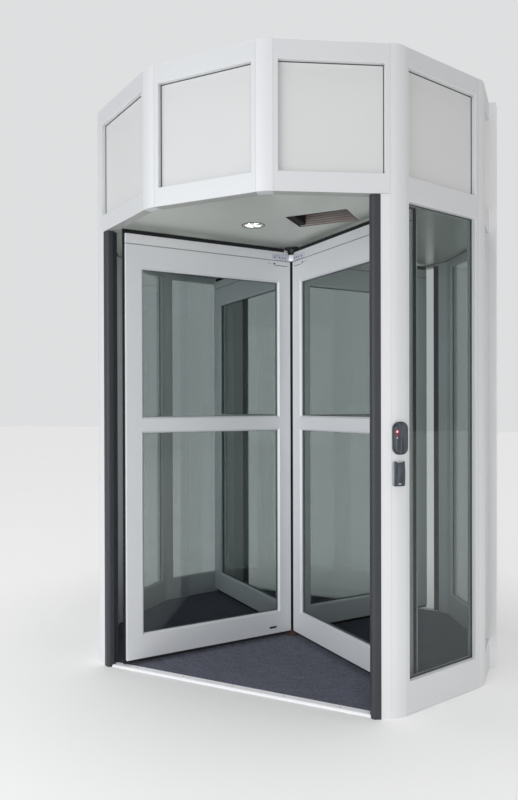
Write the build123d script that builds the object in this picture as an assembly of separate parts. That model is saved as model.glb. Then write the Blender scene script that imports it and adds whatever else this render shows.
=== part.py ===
from build123d import *
import os
from math import cos, radians, sin, tan

# Revolving door: a twelve-sided drum with a faceted canopy, glazed side walls and a rotor of four wings.
# Millimetres. The origin is on the floor at the middle of the drum, -Y is outside and +X is to the right
# of a person who walks in. Angles in plan are counted from -Y towards +X.

# Drum in plan
SIDES = 12
ACROSS_FLATS = 2030.0
FRAME_DEPTH = 44.0
NOSE_RADIUS = 125.0
NOSE_REACH = 35.0
JAMB_REACH = 75.0
JAMB_SEAM = 1.5
BUMPER_WIDTH = 40.0
BUMPER_NOSE = 16.0

# Heights
TOTAL_HEIGHT = 2700.0
PASSAGE_HEIGHT = 2100.0
CANOPY_RAIL = 80.0
BASE_RAIL = 135.0
HEAD_BEAD = 22.0
JAMB_JOINT = 1.5

# Bays between the posts
CANOPY_LAND = 22.0
WALL_LAND = 22.0
REVEAL_DEPTH = 23.0
EDGE_EASE = 1.8
PANEL_THICKNESS = 4.0
GLASS_THICKNESS = 8.0
GROOVE_DEPTH = 10.0
FIT = 0.3

# Ceiling and roof
SOFFIT_RISE = 14.0
SOFFIT_THICKNESS = 12.0
ROOF_THICKNESS = 10.0
LIGHT_DISTANCE = 520.0
LIGHT_DIAMETER = 100.0
LIGHT_RIM = 9.0
LIGHT_DROP = 4.0
LIGHT_BODY = 60.0
RECESS_LENGTH = 283.0
RECESS_WIDTH = 184.0
RECESS_HEIGHT = 90.0
RECESS_WALL = 3.0
RECESS_X = 334.0
RECESS_Y = -491.0
BEARING_DIAMETER = 104.0
BEARING_FLANGE = 8.0
BEARING_NECK = 78.0

# Floor
MAT_THICKNESS = 8.0
THRESHOLD_WIDTH = 42.0
THRESHOLD_HEIGHT = 10.0
THRESHOLD_BEVEL = 5.0
THRESHOLD_GROOVES = 5
GROOVE_WIDTH = 2.5
PIVOT_DIAMETER = 72.0
PIVOT_BEVEL = 8.0

# Running clearances of the rotor
TIP_CLEARANCE = 6.0
SOFFIT_CLEARANCE = 6.0
FLOOR_CLEARANCE = 5.0
PIVOT_CLEARANCE = 4.0
SHAFT_CLEARANCE = 5.0

# Rotor
WINGS = 4
REST_ANGLE = -36.6
WING_THICKNESS = 40.0
WING_ROOT = 28.0
WING_EDGE_RADIUS = 3.0
INNER_STILE = 77.0
OUTER_STILE = 88.0
BOTTOM_RAIL = 118.0
MIDDLE_RAIL = 77.0
MIDDLE_RAIL_CENTRE = 1164.0
TOP_RAIL = 165.0
HEADER_STRIP = 50.0
HEADER_GROOVE = 4.0
HEADER_GROOVE_DEPTH = 3.0
BEAD_SLOPE = 8.0
BRUSH_THICKNESS = 12.0
BRUSH_SIDE = 12.0
BRUSH_TOP = 27.0
BRUSH_BOTTOM = 22.0
SHAFT_DIAMETER = 36.0
HUB_DIAMETER = 96.0
HUB_HEIGHT = 46.0
CLAMP_LENGTH = 84.0
CLAMP_HEIGHT = 38.0
CLAMP_THICKNESS = 6.0
CLAMP_CORNER = 8.0

# Facade jambs and fittings on the front right post
FACADE_WIDTH = 32.0
FACADE_DEPTH = 60.0
FACADE_WALL = 5.0
READER_WIDTH = 62.0
READER_HEIGHT = 132.0
READER_DEPTH = 21.0
READER_CENTRE = 1124.0
READER_CORNER = 16.0
SWITCH_WIDTH = 45.0
SWITCH_HEIGHT = 100.0
SWITCH_DEPTH = 20.0
SWITCH_CENTRE = 982.0
SWITCH_CORNER = 5.0

# Values that follow from those above
FACE_TURN = 360 / SIDES
HALF_TURN = radians(FACE_TURN / 2)
APOTHEM = ACROSS_FLATS / 2
INNER_APOTHEM = APOTHEM - FRAME_DEPTH
HALF_SIDE = APOTHEM * tan(HALF_TURN)
CORNER_RADIUS = APOTHEM / cos(HALF_TURN)
NOSE_FRONT = CORNER_RADIUS - NOSE_RADIUS * (1 / cos(HALF_TURN) - 1)
BAY_WIDTH = 2 * (HALF_SIDE - NOSE_REACH)
JAMB_TURN = 1.5 * FACE_TURN
SOFFIT_BOTTOM = PASSAGE_HEIGHT + SOFFIT_RISE
BRUSH_TIP = INNER_APOTHEM - TIP_CLEARANCE
BRUSH_HIGH = SOFFIT_BOTTOM - SOFFIT_CLEARANCE
BRUSH_LOW = THRESHOLD_HEIGHT + FLOOR_CLEARANCE
WING_TIP = BRUSH_TIP - BRUSH_SIDE
WING_TOP = BRUSH_HIGH - BRUSH_TOP
WING_BOTTOM = BRUSH_LOW + BRUSH_BOTTOM
HUB_BOTTOM = WING_TOP - HUB_HEIGHT
BEARING_BOTTOM = WING_TOP + PIVOT_CLEARANCE
PIVOT_HEIGHT = WING_BOTTOM - PIVOT_CLEARANCE


def turned(shape, angle):
    """Turn a shape about the drum's axis."""
    return Rot(0, 0, angle) * shape


def upright(face, bottom, top):
    """Extrude a plan section from one height to another."""
    return extrude(Pos(0, 0, bottom) * face, top - bottom, dir=(0, 0, 1))


def drum_face(apothem):
    """Plan of the drum with flats at the given distance and one flat towards -Y."""
    turn = Rot(0, 0, FACE_TURN / 2)
    return turn * RegularPolygon(apothem / cos(HALF_TURN), SIDES)


def corner_point(along, back):
    """Point near a corner that points to -Y: along one face, negative on the left, and back from it."""
    side = 1 if along >= 0 else -1
    reach = abs(along)
    x = reach * cos(HALF_TURN) - back * sin(HALF_TURN)
    y = -CORNER_RADIUS + reach * sin(HALF_TURN) + back * cos(HALF_TURN)
    return (side * x, y)


def post_section(left_reach, right_reach):
    """Bent section of a corner post: an arm along each face and a rolled nose between them."""
    tip = (0, -CORNER_RADIUS)
    heel = (0, -CORNER_RADIUS + FRAME_DEPTH / cos(HALF_TURN))
    outline = Polyline(
        corner_point(-left_reach, 0),
        tip,
        corner_point(right_reach, 0),
        corner_point(right_reach, FRAME_DEPTH),
        heel,
        corner_point(-left_reach, FRAME_DEPTH),
        close=True,
    )
    section = make_face(outline)
    front = section.vertices().sort_by(Axis.Y)[0]
    return fillet(front, NOSE_RADIUS)


def post(left_reach, right_reach, bottom, top):
    """Length of corner post for a corner that points to -Y."""
    return upright(post_section(left_reach, right_reach), bottom, top)


def bay_slab(width, bottom, top, front, depth):
    """Flat slab in the bay that faces -Y, its front a given distance behind the drum's face."""
    y = -APOTHEM + front
    return Pos(0, y, bottom) * Box(width, depth, top - bottom, align=(Align.CENTER, Align.MIN, Align.MIN))


def bay_frame(land, bottom, sill, head, top):
    """Frame that fills a bay from post to post, with a rebate for its pane or panel."""
    frame = bay_slab(BAY_WIDTH, bottom, top, 0, FRAME_DEPTH)
    sight = BAY_WIDTH - 2 * land
    frame -= bay_slab(sight, sill, head, 0, FRAME_DEPTH)
    front_edges = frame.edges().filter_by(Plane.XZ).group_by(Axis.Y)[0]
    return chamfer(front_edges, EDGE_EASE)


def pane(land, sill, head, thickness):
    """Pane or panel of a bay, its edges held in the frame's groove."""
    width = BAY_WIDTH - 2 * land + 2 * GROOVE_DEPTH
    return bay_slab(width, sill - GROOVE_DEPTH, head + GROOVE_DEPTH, REVEAL_DEPTH, thickness)


def pane_groove(land, sill, head, thickness):
    """Room that a pane takes in its frame, with the glazing clearance."""
    width = BAY_WIDTH - 2 * land + 2 * (GROOVE_DEPTH + FIT)
    bottom = sill - GROOVE_DEPTH - FIT
    top = head + GROOVE_DEPTH + FIT
    return bay_slab(width, bottom, top, REVEAL_DEPTH - FIT, thickness + 2 * FIT)


def canopy_frame():
    """Frame of one canopy bay with its groove."""
    sill = PASSAGE_HEIGHT + CANOPY_RAIL
    head = TOTAL_HEIGHT - CANOPY_RAIL
    frame = bay_frame(CANOPY_LAND, PASSAGE_HEIGHT, sill, head, TOTAL_HEIGHT)
    return frame - pane_groove(CANOPY_LAND, sill, head, PANEL_THICKNESS)


def canopy_panel():
    """Flat infill panel of one canopy bay."""
    return pane(CANOPY_LAND, PASSAGE_HEIGHT + CANOPY_RAIL, TOTAL_HEIGHT - CANOPY_RAIL, PANEL_THICKNESS)


def wall_frame():
    """Frame of one side wall bay: base rail, two slim stiles and a head bead."""
    head = PASSAGE_HEIGHT - HEAD_BEAD
    frame = bay_frame(WALL_LAND, 0, BASE_RAIL, head, PASSAGE_HEIGHT)
    return frame - pane_groove(WALL_LAND, BASE_RAIL, head, GLASS_THICKNESS)


def wall_pane():
    """Glass of one side wall bay."""
    return pane(WALL_LAND, BASE_RAIL, PASSAGE_HEIGHT - HEAD_BEAD, GLASS_THICKNESS)


def jamb_post(opening_on_left):
    """Post beside an opening: a nose to full height and a wider arm on the opening's side."""
    shaft = post(NOSE_REACH, NOSE_REACH, 0, TOTAL_HEIGHT)
    left = JAMB_REACH if opening_on_left else NOSE_REACH
    right = NOSE_REACH if opening_on_left else JAMB_REACH
    jamb = shaft + post(left, right, 0, PASSAGE_HEIGHT - JAMB_JOINT)
    x, y = corner_point(-NOSE_REACH if opening_on_left else NOSE_REACH, 0)
    seam = Pos(x, y) * Rectangle(JAMB_SEAM, 2 * JAMB_SEAM)
    return jamb - upright(seam, 0, TOTAL_HEIGHT)


def bumper(opening_on_left):
    """Rubber strip with a bull nose on the free edge of a jamb post."""
    side = -1 if opening_on_left else 1
    inner = JAMB_REACH
    outer = JAMB_REACH + BUMPER_WIDTH
    section = make_face(Polyline(
        corner_point(side * inner, 0),
        corner_point(side * outer, 0),
        corner_point(side * outer, FRAME_DEPTH),
        corner_point(side * inner, FRAME_DEPTH),
        close=True,
    ))
    free = [v for v in section.vertices() if abs(v.X) > (inner + BUMPER_WIDTH / 2) * cos(HALF_TURN)]
    section = fillet(free, BUMPER_NOSE)
    return upright(section, 0, PASSAGE_HEIGHT - JAMB_JOINT)


def threshold_line():
    """Distance of the threshold's middle line from the axis: it ends at the inner edges of the bumpers."""
    x, y = corner_point(-JAMB_REACH - BUMPER_WIDTH, FRAME_DEPTH)
    turn = radians(JAMB_TURN)
    return -(x * sin(turn) + y * cos(turn))


def threshold():
    """Ribbed threshold between the jambs of the opening towards -Y."""
    half = THRESHOLD_WIDTH / 2
    top = THRESHOLD_HEIGHT
    pitch = (THRESHOLD_WIDTH - 2 * THRESHOLD_BEVEL) / (THRESHOLD_GROOVES + 1)
    section = make_face(Polyline(
        (-half, 0),
        (half, 0),
        (half, top / 2),
        (half - THRESHOLD_BEVEL, top),
        (-half + THRESHOLD_BEVEL, top),
        (-half, top / 2),
        close=True,
    ))
    for index in range(THRESHOLD_GROOVES):
        place = -half + THRESHOLD_BEVEL + (index + 1) * pitch
        section -= Pos(place, top) * Rectangle(GROOVE_WIDTH, GROOVE_WIDTH)
    plane = Plane(origin=(-APOTHEM, -threshold_line(), 0), x_dir=(0, 1, 0), z_dir=(1, 0, 0))
    bar = extrude(plane * section, ACROSS_FLATS)
    reach = JAMB_REACH + BUMPER_WIDTH + FIT
    bar -= turned(post(reach, HALF_SIDE, -THRESHOLD_HEIGHT, 2 * THRESHOLD_HEIGHT), JAMB_TURN)
    bar -= turned(post(HALF_SIDE, reach, -THRESHOLD_HEIGHT, 2 * THRESHOLD_HEIGHT), -JAMB_TURN)
    return bar.solids().sort_by(lambda piece: abs(piece.center().X))[0]


def floor_mat():
    """Mat inside the drum, between the two thresholds."""
    reach = threshold_line() - THRESHOLD_WIDTH / 2 - FIT
    mat = upright(drum_face(INNER_APOTHEM - FIT), 0, MAT_THICKNESS)
    mat &= Box(ACROSS_FLATS, 2 * reach, 4 * MAT_THICKNESS)
    return mat - Cylinder(PIVOT_DIAMETER / 2 + FIT, 4 * MAT_THICKNESS)


def floor_pivot():
    """Bevelled collar of the floor bearing."""
    collar = Cylinder(PIVOT_DIAMETER / 2, PIVOT_HEIGHT, align=(Align.CENTER, Align.CENTER, Align.MIN))
    rim = collar.edges().group_by(Axis.Z)[-1]
    collar = chamfer(rim, PIVOT_BEVEL)
    bore = Cylinder(SHAFT_DIAMETER / 2 + FIT, PIVOT_HEIGHT, align=(Align.CENTER, Align.CENTER, Align.MIN))
    return collar - Pos(0, 0, MAT_THICKNESS) * bore


def light_place(front):
    """Middle of the downlight over the front or the back half."""
    return Pos(0, -LIGHT_DISTANCE if front else LIGHT_DISTANCE, SOFFIT_BOTTOM)


def downlight():
    """Round downlight: a rim under the ceiling, a body above it and a shallow lens."""
    rim_radius = LIGHT_DIAMETER / 2
    lens_radius = rim_radius - LIGHT_RIM
    profile = make_face(Polyline(
        (0, LIGHT_DROP),
        (lens_radius, LIGHT_DROP),
        (lens_radius, -LIGHT_DROP + EDGE_EASE),
        (lens_radius + EDGE_EASE, -LIGHT_DROP),
        (rim_radius - EDGE_EASE, -LIGHT_DROP),
        (rim_radius, -LIGHT_DROP + EDGE_EASE),
        (rim_radius, 0),
        (lens_radius + EDGE_EASE, 0),
        (lens_radius + EDGE_EASE, LIGHT_BODY),
        (0, LIGHT_BODY),
        close=True,
    ))
    return revolve(Plane.XZ * profile, Axis.Z)


def soffit():
    """Ceiling plate with holes for the lights, the recess and the shaft."""
    plate = upright(drum_face(INNER_APOTHEM - FIT), SOFFIT_BOTTOM, SOFFIT_BOTTOM + SOFFIT_THICKNESS)
    hole = Cylinder(LIGHT_DIAMETER / 2 - LIGHT_RIM + EDGE_EASE + FIT, 4 * SOFFIT_THICKNESS)
    plate -= light_place(True) * hole
    plate -= light_place(False) * hole
    plate -= Pos(RECESS_X, RECESS_Y, SOFFIT_BOTTOM) * Box(
        RECESS_LENGTH + 2 * (RECESS_WALL + FIT), RECESS_WIDTH + 2 * (RECESS_WALL + FIT), 4 * SOFFIT_THICKNESS)
    return plate - Pos(0, 0, SOFFIT_BOTTOM) * Cylinder(SHAFT_DIAMETER / 2 + SHAFT_CLEARANCE, 4 * SOFFIT_THICKNESS)


def recess_box():
    """Open box of sheet metal in the ceiling."""
    bottom = (Align.CENTER, Align.CENTER, Align.MIN)
    shell = Box(RECESS_LENGTH + 2 * RECESS_WALL, RECESS_WIDTH + 2 * RECESS_WALL, RECESS_HEIGHT, align=bottom)
    shell -= Box(RECESS_LENGTH, RECESS_WIDTH, RECESS_HEIGHT - RECESS_WALL, align=bottom)
    return Pos(RECESS_X, RECESS_Y, SOFFIT_BOTTOM) * shell


def roof():
    """Cover plate on top of the canopy."""
    return upright(drum_face(INNER_APOTHEM - FIT), TOTAL_HEIGHT - ROOF_THICKNESS, TOTAL_HEIGHT)


def top_bearing():
    """Stepped collar of the top bearing: a flange under the ceiling and a neck down to the hub."""
    bore = SHAFT_DIAMETER / 2 + SHAFT_CLEARANCE
    flange_bottom = SOFFIT_BOTTOM - BEARING_FLANGE
    profile = make_face(Polyline(
        (bore, BEARING_BOTTOM),
        (BEARING_NECK / 2, BEARING_BOTTOM),
        (BEARING_NECK / 2, flange_bottom),
        (BEARING_DIAMETER / 2, flange_bottom),
        (BEARING_DIAMETER / 2, SOFFIT_BOTTOM),
        (bore, SOFFIT_BOTTOM),
        close=True,
    ))
    return revolve(Plane.XZ * profile, Axis.Z)


def facade_jamb():
    """Channel that takes the building's facade, on the face towards -Y."""
    bottom = (Align.CENTER, Align.MAX, Align.MIN)
    bar = Box(FACADE_DEPTH, FACADE_WIDTH, TOTAL_HEIGHT, align=bottom)
    groove = Box(FACADE_DEPTH - 2 * FACADE_WALL, FACADE_WIDTH / 2, TOTAL_HEIGHT, align=bottom)
    bar -= Pos(0, -FACADE_WIDTH / 2, 0) * groove
    return Pos(0, -APOTHEM, 0) * bar


def nose_fitting(width, height, depth, centre, corner):
    """Small housing on the nose of a post that points to -Y, its back shaped to the nose."""
    front = -NOSE_FRONT - depth
    body = Pos(0, front, centre) * Box(width, 2 * depth, height, align=(Align.CENTER, Align.MIN, Align.CENTER))
    body = fillet(body.edges().filter_by(Axis.Y), corner)
    rim = body.faces().sort_by(Axis.Y)[0].edges()
    body = fillet(rim, corner / 3)
    return body - post(JAMB_REACH, JAMB_REACH, centre - height, centre + height)


def wing_slab(inner, outer, bottom, top, thickness):
    """Upright slab of a wing that points along +X."""
    return Pos(inner, 0, bottom) * Box(
        outer - inner, thickness, top - bottom, align=(Align.MIN, Align.CENTER, Align.MIN))


def wing_windows():
    """Lower and upper window of a wing, as inner and outer edge and bottom and top."""
    left = WING_ROOT + INNER_STILE
    right = WING_TIP - OUTER_STILE
    half = MIDDLE_RAIL / 2
    return (
        (left, right, WING_BOTTOM + BOTTOM_RAIL, MIDDLE_RAIL_CENTRE - half),
        (left, right, MIDDLE_RAIL_CENTRE + half, WING_TOP - TOP_RAIL),
    )


def wing_frame():
    """Frame of one wing with two glazed windows, a header strip and room for the hub."""
    frame = wing_slab(WING_ROOT, WING_TIP, WING_BOTTOM, WING_TOP, WING_THICKNESS)
    frame = fillet(frame.edges().filter_by(Axis.Z), WING_EDGE_RADIUS)
    for left, right, low, high in wing_windows():
        frame -= wing_slab(left, right, low, high, WING_THICKNESS)
    for side in (0, -1):
        on_face = frame.edges().filter_by(Plane.XZ).group_by(Axis.Y)[side]
        frame = chamfer([edge for edge in on_face if round_window(edge)], BEAD_SLOPE)
    grow = GROOVE_DEPTH + FIT
    for left, right, low, high in wing_windows():
        frame -= wing_slab(left - grow, right + grow, low - grow, high + grow, GLASS_THICKNESS + 2 * FIT)
    groove = WING_TOP - HEADER_STRIP
    for side in (-1, 1):
        y = side * WING_THICKNESS / 2
        cut = wing_slab(0, BRUSH_TIP, groove, groove + HEADER_GROOVE, 2 * HEADER_GROOVE_DEPTH)
        frame -= Pos(0, y, 0) * cut
    hub_room = Cylinder(HUB_DIAMETER / 2 + FIT, WING_TOP, align=(Align.CENTER, Align.CENTER, Align.MIN))
    return frame - Pos(0, 0, HUB_BOTTOM - FIT) * hub_room


def round_window(edge):
    """True for an edge that runs round a wing's window."""
    place = edge.center()
    across = WING_ROOT + INNER_STILE / 2 < place.X < WING_TIP - OUTER_STILE / 2
    return across and WING_BOTTOM + BOTTOM_RAIL / 2 < place.Z < WING_TOP - TOP_RAIL / 2


def wing_glass():
    """The two panes of a wing."""
    return [
        wing_slab(left - GROOVE_DEPTH, right + GROOVE_DEPTH, low - GROOVE_DEPTH, high + GROOVE_DEPTH, GLASS_THICKNESS)
        for left, right, low, high in wing_windows()
    ]


def wing_brush():
    """Brush along the bottom, the outer edge and the top of a wing."""
    start = BEARING_DIAMETER / 2 + SHAFT_CLEARANCE
    whole = wing_slab(start, BRUSH_TIP, BRUSH_LOW, BRUSH_HIGH, BRUSH_THICKNESS)
    return whole - wing_slab(0, WING_TIP, WING_BOTTOM, WING_TOP, BRUSH_THICKNESS)


def shaft():
    """Centre shaft from the floor pivot to the top bearing."""
    height = SOFFIT_BOTTOM + SOFFIT_THICKNESS - MAT_THICKNESS - FIT
    rod = Cylinder(SHAFT_DIAMETER / 2, height, align=(Align.CENTER, Align.CENTER, Align.MIN))
    return Pos(0, 0, MAT_THICKNESS + FIT) * rod


def clamp_plate():
    """Clamp plate against the face of a wing that points along +X, with rounded corners."""
    middle = HUB_BOTTOM + HUB_HEIGHT / 2
    outer = HUB_DIAMETER / 2 + CLAMP_LENGTH
    plate = wing_slab(HUB_DIAMETER / 3, outer, middle - CLAMP_HEIGHT / 2, middle + CLAMP_HEIGHT / 2, CLAMP_THICKNESS)
    corners = plate.edges().filter_by(Axis.Y).group_by(Axis.X)[-1]
    return fillet(corners, CLAMP_CORNER)


def hub():
    """Hub on the shaft with a pair of clamps for every wing."""
    body = Cylinder(HUB_DIAMETER / 2, HUB_HEIGHT, align=(Align.CENTER, Align.CENTER, Align.MIN))
    body = Pos(0, 0, HUB_BOTTOM) * body
    offset = (WING_THICKNESS + CLAMP_THICKNESS) / 2
    for wing in range(WINGS):
        for side in (-1, 1):
            body += turned(Pos(0, side * offset, 0) * clamp_plate(), wing * 360 / WINGS)
    bore = Cylinder(SHAFT_DIAMETER / 2 + FIT, 2 * TOTAL_HEIGHT)
    return turned(body - bore, REST_ANGLE)


def ring(piece, angles):
    """Copies of a bay or post at several angles, as solids that don't touch."""
    return Compound(children=[turned(piece, angle) for angle in angles])


def bay_angles():
    """Turn of every face of the drum."""
    return [index * FACE_TURN for index in range(SIDES)]


def save(name, shape):
    """Write one node."""
    export_step(shape, f"parts/{name}.step")


os.makedirs("parts", exist_ok=True)

# Posts and bumpers beside the two openings
for name, angle, opening_on_left in (
    ("front_right", JAMB_TURN, True),
    ("front_left", -JAMB_TURN, False),
    ("back_right", 180 - JAMB_TURN, False),
    ("back_left", 180 + JAMB_TURN, True),
):
    save(f"jamb_post_{name}", turned(jamb_post(opening_on_left), angle))
    save(f"jamb_bumper_{name}", turned(bumper(opening_on_left), angle))

# Posts between the bays of the side walls, and those of the canopy over the openings
wall_post = post(NOSE_REACH, NOSE_REACH, 0, TOTAL_HEIGHT)
wall_post_turns = [side * (90 + step * FACE_TURN / 2) for side in (1, -1) for step in (-1, 1)]
save("wall_posts", ring(wall_post, wall_post_turns))
canopy_post = post(NOSE_REACH, NOSE_REACH, PASSAGE_HEIGHT, TOTAL_HEIGHT)
canopy_post_turns = [middle + step * FACE_TURN / 2 for middle in (0, 180) for step in (-1, 1)]
save("canopy_posts", ring(canopy_post, canopy_post_turns))

# Side walls
bay = wall_frame()
for side_name, side in (("right", 1), ("left", -1)):
    for bay_name, step in (("front", -1), ("middle", 0), ("back", 1)):
        save(f"wall_frame_{side_name}_{bay_name}", turned(bay, side * (90 + step * FACE_TURN)))
    save(f"wall_glass_{side_name}", ring(wall_pane(), [side * (90 + step * FACE_TURN) for step in (-1, 0, 1)]))

# Canopy, ceiling and roof
save("canopy_frames", ring(canopy_frame(), bay_angles()))
save("canopy_panels", ring(canopy_panel(), bay_angles()))
save("soffit", soffit())
save("ceiling_recess", recess_box())
save("downlights", Compound(children=[light_place(True) * downlight(), light_place(False) * downlight()]))
save("roof_cover", roof())
save("top_bearing", top_bearing())

# Floor
save("floor_mat", floor_mat())
save("threshold_front", threshold())
save("threshold_back", turned(threshold(), 180))
save("floor_pivot", floor_pivot())

# Facade connection and fittings
save("facade_jamb_right", turned(facade_jamb(), 90))
save("facade_jamb_left", turned(facade_jamb(), -90))
save("card_reader", turned(
    nose_fitting(READER_WIDTH, READER_HEIGHT, READER_DEPTH, READER_CENTRE, READER_CORNER), JAMB_TURN))
save("key_switch", turned(
    nose_fitting(SWITCH_WIDTH, SWITCH_HEIGHT, SWITCH_DEPTH, SWITCH_CENTRE, SWITCH_CORNER), JAMB_TURN))

# Rotor
save("centre_shaft", shaft())
save("hub", hub())
frame = wing_frame()
wing_turns = [REST_ANGLE - 90 + index * 360 / WINGS for index in range(WINGS)]
for number, angle in enumerate(wing_turns, start=1):
    save(f"wing_{number}_frame", turned(frame, angle))
    save(f"wing_{number}_glass", Compound(children=[turned(glass, angle) for glass in wing_glass()]))
save("wing_brushes", ring(wing_brush(), wing_turns))
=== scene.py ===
import math

import bmesh
import bpy
import numpy as np
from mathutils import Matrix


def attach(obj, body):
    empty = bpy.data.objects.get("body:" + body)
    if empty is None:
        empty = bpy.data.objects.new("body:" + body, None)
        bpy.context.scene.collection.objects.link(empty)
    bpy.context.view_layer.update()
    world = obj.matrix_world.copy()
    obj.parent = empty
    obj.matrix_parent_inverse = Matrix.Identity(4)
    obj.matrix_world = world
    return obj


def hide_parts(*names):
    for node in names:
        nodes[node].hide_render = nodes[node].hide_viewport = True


# Revolving door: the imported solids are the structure, and this script gives them their looks and adds the
# fine pieces. Metres, floor at z = 0, the drum's axis at x = y = 0, outside towards -Y.
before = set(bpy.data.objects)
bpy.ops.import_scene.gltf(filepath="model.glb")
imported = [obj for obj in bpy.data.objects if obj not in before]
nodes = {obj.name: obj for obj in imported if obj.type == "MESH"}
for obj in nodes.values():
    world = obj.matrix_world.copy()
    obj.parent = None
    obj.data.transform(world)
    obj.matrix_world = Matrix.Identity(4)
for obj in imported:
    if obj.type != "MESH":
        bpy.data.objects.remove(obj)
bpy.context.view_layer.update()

# Camera: a wide lens at chest height on the right, as fitted to the drum's corners in the photograph. The
# shift is small, because the principal point lies near the middle of the picture.
camera_data = bpy.data.cameras.new("camera")
camera_data.sensor_width = 36.0
camera_data.lens = 30.23
camera_data.shift_x = 0.0160
camera_data.shift_y = 0.01114
camera = bpy.data.objects.new("camera", camera_data)
camera.location = (1.3248, -3.4357, 1.2548)
camera.rotation_euler = (math.radians(89.747), math.radians(0.154), math.radians(25.076))
bpy.context.collection.objects.link(camera)
bpy.context.scene.camera = camera
bpy.context.scene.view_settings.view_transform = "Standard"


# Studio: a plain pale floor and background, two large soft lights in front from the left and the right, a low
# bluish one as from the open sky, and a weak broad one overhead. The floor is darker near the lights.
class Shade:
    """A socket of a node tree that can be reckoned with: + - * / and comparisons become maths nodes."""

    def __init__(self, tree, socket):
        self.tree = tree
        self.socket = socket

    def node(self, kind, settings, inputs, output=0):
        """Any node: its settings first, then the values or links of its sockets by name or number."""
        made = self.tree.nodes.new(kind)
        for name, value in settings.items():
            setattr(made, name, value)
        for key, value in inputs.items():
            if isinstance(value, Shade):
                self.tree.links.new(value.socket, made.inputs[key])
            else:
                made.inputs[key].default_value = value
        return Shade(self.tree, made.outputs[output])

    def maths(self, operation, first, second=0.0):
        """A Math node of one or two values."""
        return self.node("ShaderNodeMath", {"operation": operation}, {0: first, 1: second})

    def __add__(self, other):
        return self.maths("ADD", self, other)

    def __radd__(self, other):
        return self.maths("ADD", other, self)

    def __sub__(self, other):
        return self.maths("SUBTRACT", self, other)

    def __rsub__(self, other):
        return self.maths("SUBTRACT", other, self)

    def __mul__(self, other):
        return self.maths("MULTIPLY", self, other)

    def __rmul__(self, other):
        return self.maths("MULTIPLY", other, self)

    def __truediv__(self, other):
        return self.maths("DIVIDE", self, other)

    def __gt__(self, other):
        return self.maths("GREATER_THAN", self, other)

    def __lt__(self, other):
        return self.maths("LESS_THAN", self, other)

    def size(self):
        """The value without its sign."""
        return self.maths("ABSOLUTE", self)

    def root(self):
        """The square root."""
        return self.maths("SQRT", self)

    def wave(self, length):
        """A sine from 0 to 1 that repeats after the given length."""
        return self.maths("SINE", self * (2 * math.pi / length)) * 0.5 + 0.5

    def near(self, middle, reach):
        """1 at the middle value, falling to 0 at the given reach on each side."""
        return self.maths("MAXIMUM", 1 - (self - middle).size() / reach, 0.0)

    def step(self, low, high):
        """0 below low, 1 above high, and a smooth rise between."""
        settings = {"interpolation_type": "SMOOTHSTEP"}
        return self.node("ShaderNodeMapRange", settings, {"Value": self, "From Min": low, "From Max": high})

    def axis(self, number):
        """One of the three parts of a vector: 0, 1 or 2."""
        return self.node("ShaderNodeSeparateXYZ", {}, {0: self}, output=number)

    def stretched(self, x, y, z):
        """A vector with its parts multiplied, to draw a pattern out along an axis."""
        return self.node("ShaderNodeVectorMath", {"operation": "MULTIPLY"}, {0: self, 1: (x, y, z)})

    def noise(self, scale, detail=2.0):
        """Noise from 0 to 1 at this vector."""
        return self.node("ShaderNodeTexNoise", {}, {"Vector": self, "Scale": scale, "Detail": detail})

    def colour(self, low, high):
        """Two colours mixed by this value."""
        ends = [value if isinstance(value, Shade) else (*value, 1.0) for value in (low, high)]
        return self.node("ShaderNodeMix", {"data_type": "RGBA"}, {0: self, 6: ends[0], 7: ends[1]}, output=2)

    def bump(self, distance):
        """A normal from this height, which is as high as the distance where it is 1."""
        return self.node("ShaderNodeBump", {}, {"Strength": 1.0, "Distance": distance, "Height": self})


def feed(shader, **inputs):
    """Set or link the inputs of a shader, with _ for the spaces in their names."""
    for name, value in inputs.items():
        socket = shader.inputs[name.replace("_", " ")]
        if isinstance(value, Shade):
            value.tree.links.new(value.socket, socket)
        elif socket.type == "RGBA":
            socket.default_value = (*value, 1.0)
        else:
            socket.default_value = value


def new_material(name):
    """An empty material: its Principled shader and the object's own coordinates."""
    material = bpy.data.materials.new(name)
    material.use_nodes = True
    tree = material.node_tree
    place = Shade(tree, tree.nodes.new("ShaderNodeTexCoord").outputs["Object"])
    return material, tree.nodes["Principled BSDF"], place


def new_object(name, points, faces, material, smooth=False):
    """An object from arrays of points and faces, with one material and its faces turned outwards."""
    mesh = bpy.data.meshes.new(name)
    mesh.from_pydata(np.asarray(points).tolist(), [], [list(face) for face in faces])
    mesh.polygons.foreach_set("use_smooth", [smooth] * len(mesh.polygons))
    mesh.materials.append(material)
    shape = bmesh.new()
    shape.from_mesh(mesh)
    bmesh.ops.recalc_face_normals(shape, faces=shape.faces)
    shape.to_mesh(mesh)
    shape.free()
    made = bpy.data.objects.new(name, mesh)
    bpy.context.collection.objects.link(made)
    return made


FLOOR_HALF = 30.0
DARK_BEFORE, PALE_AFTER = -5.2, -2.2

material, shader, place = new_material("studio_floor")
pale = place.noise(0.7).colour((0.91, 0.905, 0.90), (0.885, 0.88, 0.875))
under_lights = 1 - place.axis(1).step(DARK_BEFORE, PALE_AFTER)
feed(shader, Base_Color=under_lights.colour(pale, (0.52, 0.52, 0.52)), Roughness=0.8)
corners = [(x * FLOOR_HALF, y * FLOOR_HALF, 0.0) for x, y in ((-1, -1), (1, -1), (1, 1), (-1, 1))]
new_object("studio_floor", corners, [(0, 1, 2, 3)], material)

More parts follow.
